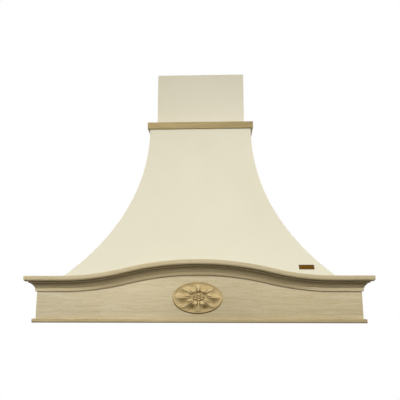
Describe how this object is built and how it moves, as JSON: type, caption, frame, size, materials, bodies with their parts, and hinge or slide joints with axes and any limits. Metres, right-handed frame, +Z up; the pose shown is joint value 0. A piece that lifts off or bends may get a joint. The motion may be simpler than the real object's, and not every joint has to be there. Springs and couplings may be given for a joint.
{
  "type": "range hood",
  "caption": "Wall-mounted chimney range hood with a flared steel canopy, telescopic flue cover, arched wooden surround and carved rosette.",
  "frame": {"origin": "on the wall plane, at the middle of the width, level with the underside of the surround", "axes": "+X to the right seen from the front, +Y into the wall, +Z up"},
  "size_m": [0.9, 0.5, 0.78],
  "materials": {
    "ivory_paint": "satin powder coat",
    "pale_oak": "bare, fine horizontal grain",
    "carved_wood": "bare, carved",
    "honey_oak": "stained and oiled",
    "brown_enamel": "gloss",
    "galvanised_steel": "dull zinc",
    "screw_steel": "bright zinc",
    "filter_aluminium": "brushed",
    "mesh_aluminium": "layered mesh",
    "dark_plastic": "matt",
    "lamp_body": "satin",
    "lamp_glass": "frosted",
    "bronze_paint": "satin",
    "button_plastic": "satin",
    "motor_iron": "painted",
    "grey_plastic": "matt",
    "capacitor_can": "matt"
  },
  "bodies": {
    "hood": {"canopy_front": "ivory_paint", "canopy_left": "ivory_paint", "canopy_right": "ivory_paint", "canopy_back": "ivory_paint", "canopy_top": "ivory_paint", "blank_plate": "brown_enamel", "rail_left": "galvanised_steel", "rail_right": "galvanised_steel", "intake_panel": "ivory_paint", "steel_screws": "screw_steel", "wood_screws": "screw_steel", "board_front": "pale_oak", "board_left": "pale_oak", "board_right": "pale_oak", "crown_front": "pale_oak", "crown_left": "pale_oak", "crown_right": "pale_oak", "lip_front": "pale_oak", "lip_left": "pale_oak", "lip_right": "pale_oak", "rosette": "carved_wood", "trim_front": "honey_oak", "trim_left": "honey_oak", "trim_right": "honey_oak", "flue_lower": "ivory_paint", "lamp_left_housing": "lamp_body", "lamp_left_lens": "lamp_glass", "lamp_right_housing": "lamp_body", "lamp_right_lens": "lamp_glass", "control_fascia": "bronze_paint", "control_housing": "dark_plastic", "spigot_flange": "dark_plastic", "spigot": "dark_plastic", "flap_rod": "screw_steel", "scroll_band": "galvanised_steel", "scroll_front": "galvanised_steel", "scroll_back": "galvanised_steel", "motor": "motor_iron", "motor_bracket": "galvanised_steel", "terminal_box": "grey_plastic", "terminal_lid": "grey_plastic", "capacitor": "capacitor_can", "cable_gland": "dark_plastic"},
    "flue_top": {"flue_upper": "ivory_paint", "flue_bracket": "galvanised_steel"},
    "filter_left": {"filter_left_frame": "filter_aluminium", "filter_left_mesh": "mesh_aluminium"},
    "latch_left": {"filter_left_latch": "dark_plastic"},
    "filter_right": {"filter_right_frame": "filter_aluminium", "filter_right_mesh": "mesh_aluminium"},
    "latch_right": {"filter_right_latch": "dark_plastic"},
    "stop_button": {"button_stop": "button_plastic"},
    "low_button": {"button_low": "button_plastic"},
    "medium_button": {"button_medium": "button_plastic"},
    "high_button": {"button_high": "button_plastic"},
    "light_button": {"button_light": "button_plastic"},
    "fan": {"impeller": "dark_plastic", "impeller_shaft": "screw_steel"},
    "front_flap": {"flap_front": "dark_plastic"},
    "back_flap": {"flap_back": "dark_plastic"}
  },
  "joints": [
    {"name": "flue_slide", "type": "slide", "parent": "hood", "child": "flue_top", "axis": [0, 0, 1], "range_m": [0, 0.14]},
    {"name": "filter_left_swing", "type": "hinge", "parent": "hood", "child": "filter_left", "pos_m": [-0.16, -0.062, 0.045], "axis": [1, 0, 0], "range_deg": [0, 60]},
    {"name": "filter_right_swing", "type": "hinge", "parent": "hood", "child": "filter_right", "pos_m": [0.16, -0.062, 0.045], "axis": [1, 0, 0], "range_deg": [0, 60]},
    {"name": "latch_left_slide", "type": "slide", "parent": "filter_left", "child": "latch_left", "axis": [0, 1, 0], "range_m": [0, 0.006], "stiffness_N_per_m": 300, "springref_m": -0.003},
    {"name": "latch_right_slide", "type": "slide", "parent": "filter_right", "child": "latch_right", "axis": [0, 1, 0], "range_m": [0, 0.006], "stiffness_N_per_m": 300, "springref_m": -0.003},
    {"name": "stop_press", "type": "slide", "parent": "hood", "child": "stop_button", "axis": [0, 0, 1], "range_m": [0, 0.002], "stiffness_N_per_m": 400, "springref_m": -0.002},
    {"name": "low_press", "type": "slide", "parent": "hood", "child": "low_button", "axis": [0, 0, 1], "range_m": [0, 0.002], "stiffness_N_per_m": 400, "springref_m": -0.002},
    {"name": "medium_press", "type": "slide", "parent": "hood", "child": "medium_button", "axis": [0, 0, 1], "range_m": [0, 0.002], "stiffness_N_per_m": 400, "springref_m": -0.002},
    {"name": "high_press", "type": "slide", "parent": "hood", "child": "high_button", "axis": [0, 0, 1], "range_m": [0, 0.002], "stiffness_N_per_m": 400, "springref_m": -0.002},
    {"name": "light_press", "type": "slide", "parent": "hood", "child": "light_button", "axis": [0, 0, 1], "range_m": [0, 0.002], "stiffness_N_per_m": 400, "springref_m": -0.002},
    {"name": "impeller_spin", "type": "hinge", "parent": "hood", "child": "fan", "pos_m": [-0.073, -0.126, 0.405], "axis": [0, 1, 0], "continuous": true},
    {"name": "front_flap_swing", "type": "hinge", "parent": "hood", "child": "front_flap", "pos_m": [0, -0.126, 0.6], "axis": [-1, 0, 0], "range_deg": [0, 80]},
    {"name": "back_flap_swing", "type": "hinge", "parent": "hood", "child": "back_flap", "pos_m": [0, -0.126, 0.6], "axis": [1, 0, 0], "range_deg": [0, 80]}
  ],
  "couplings": [
    {"joint": "back_flap_swing", "follows": "front_flap_swing", "ratio": 1}
  ]
}
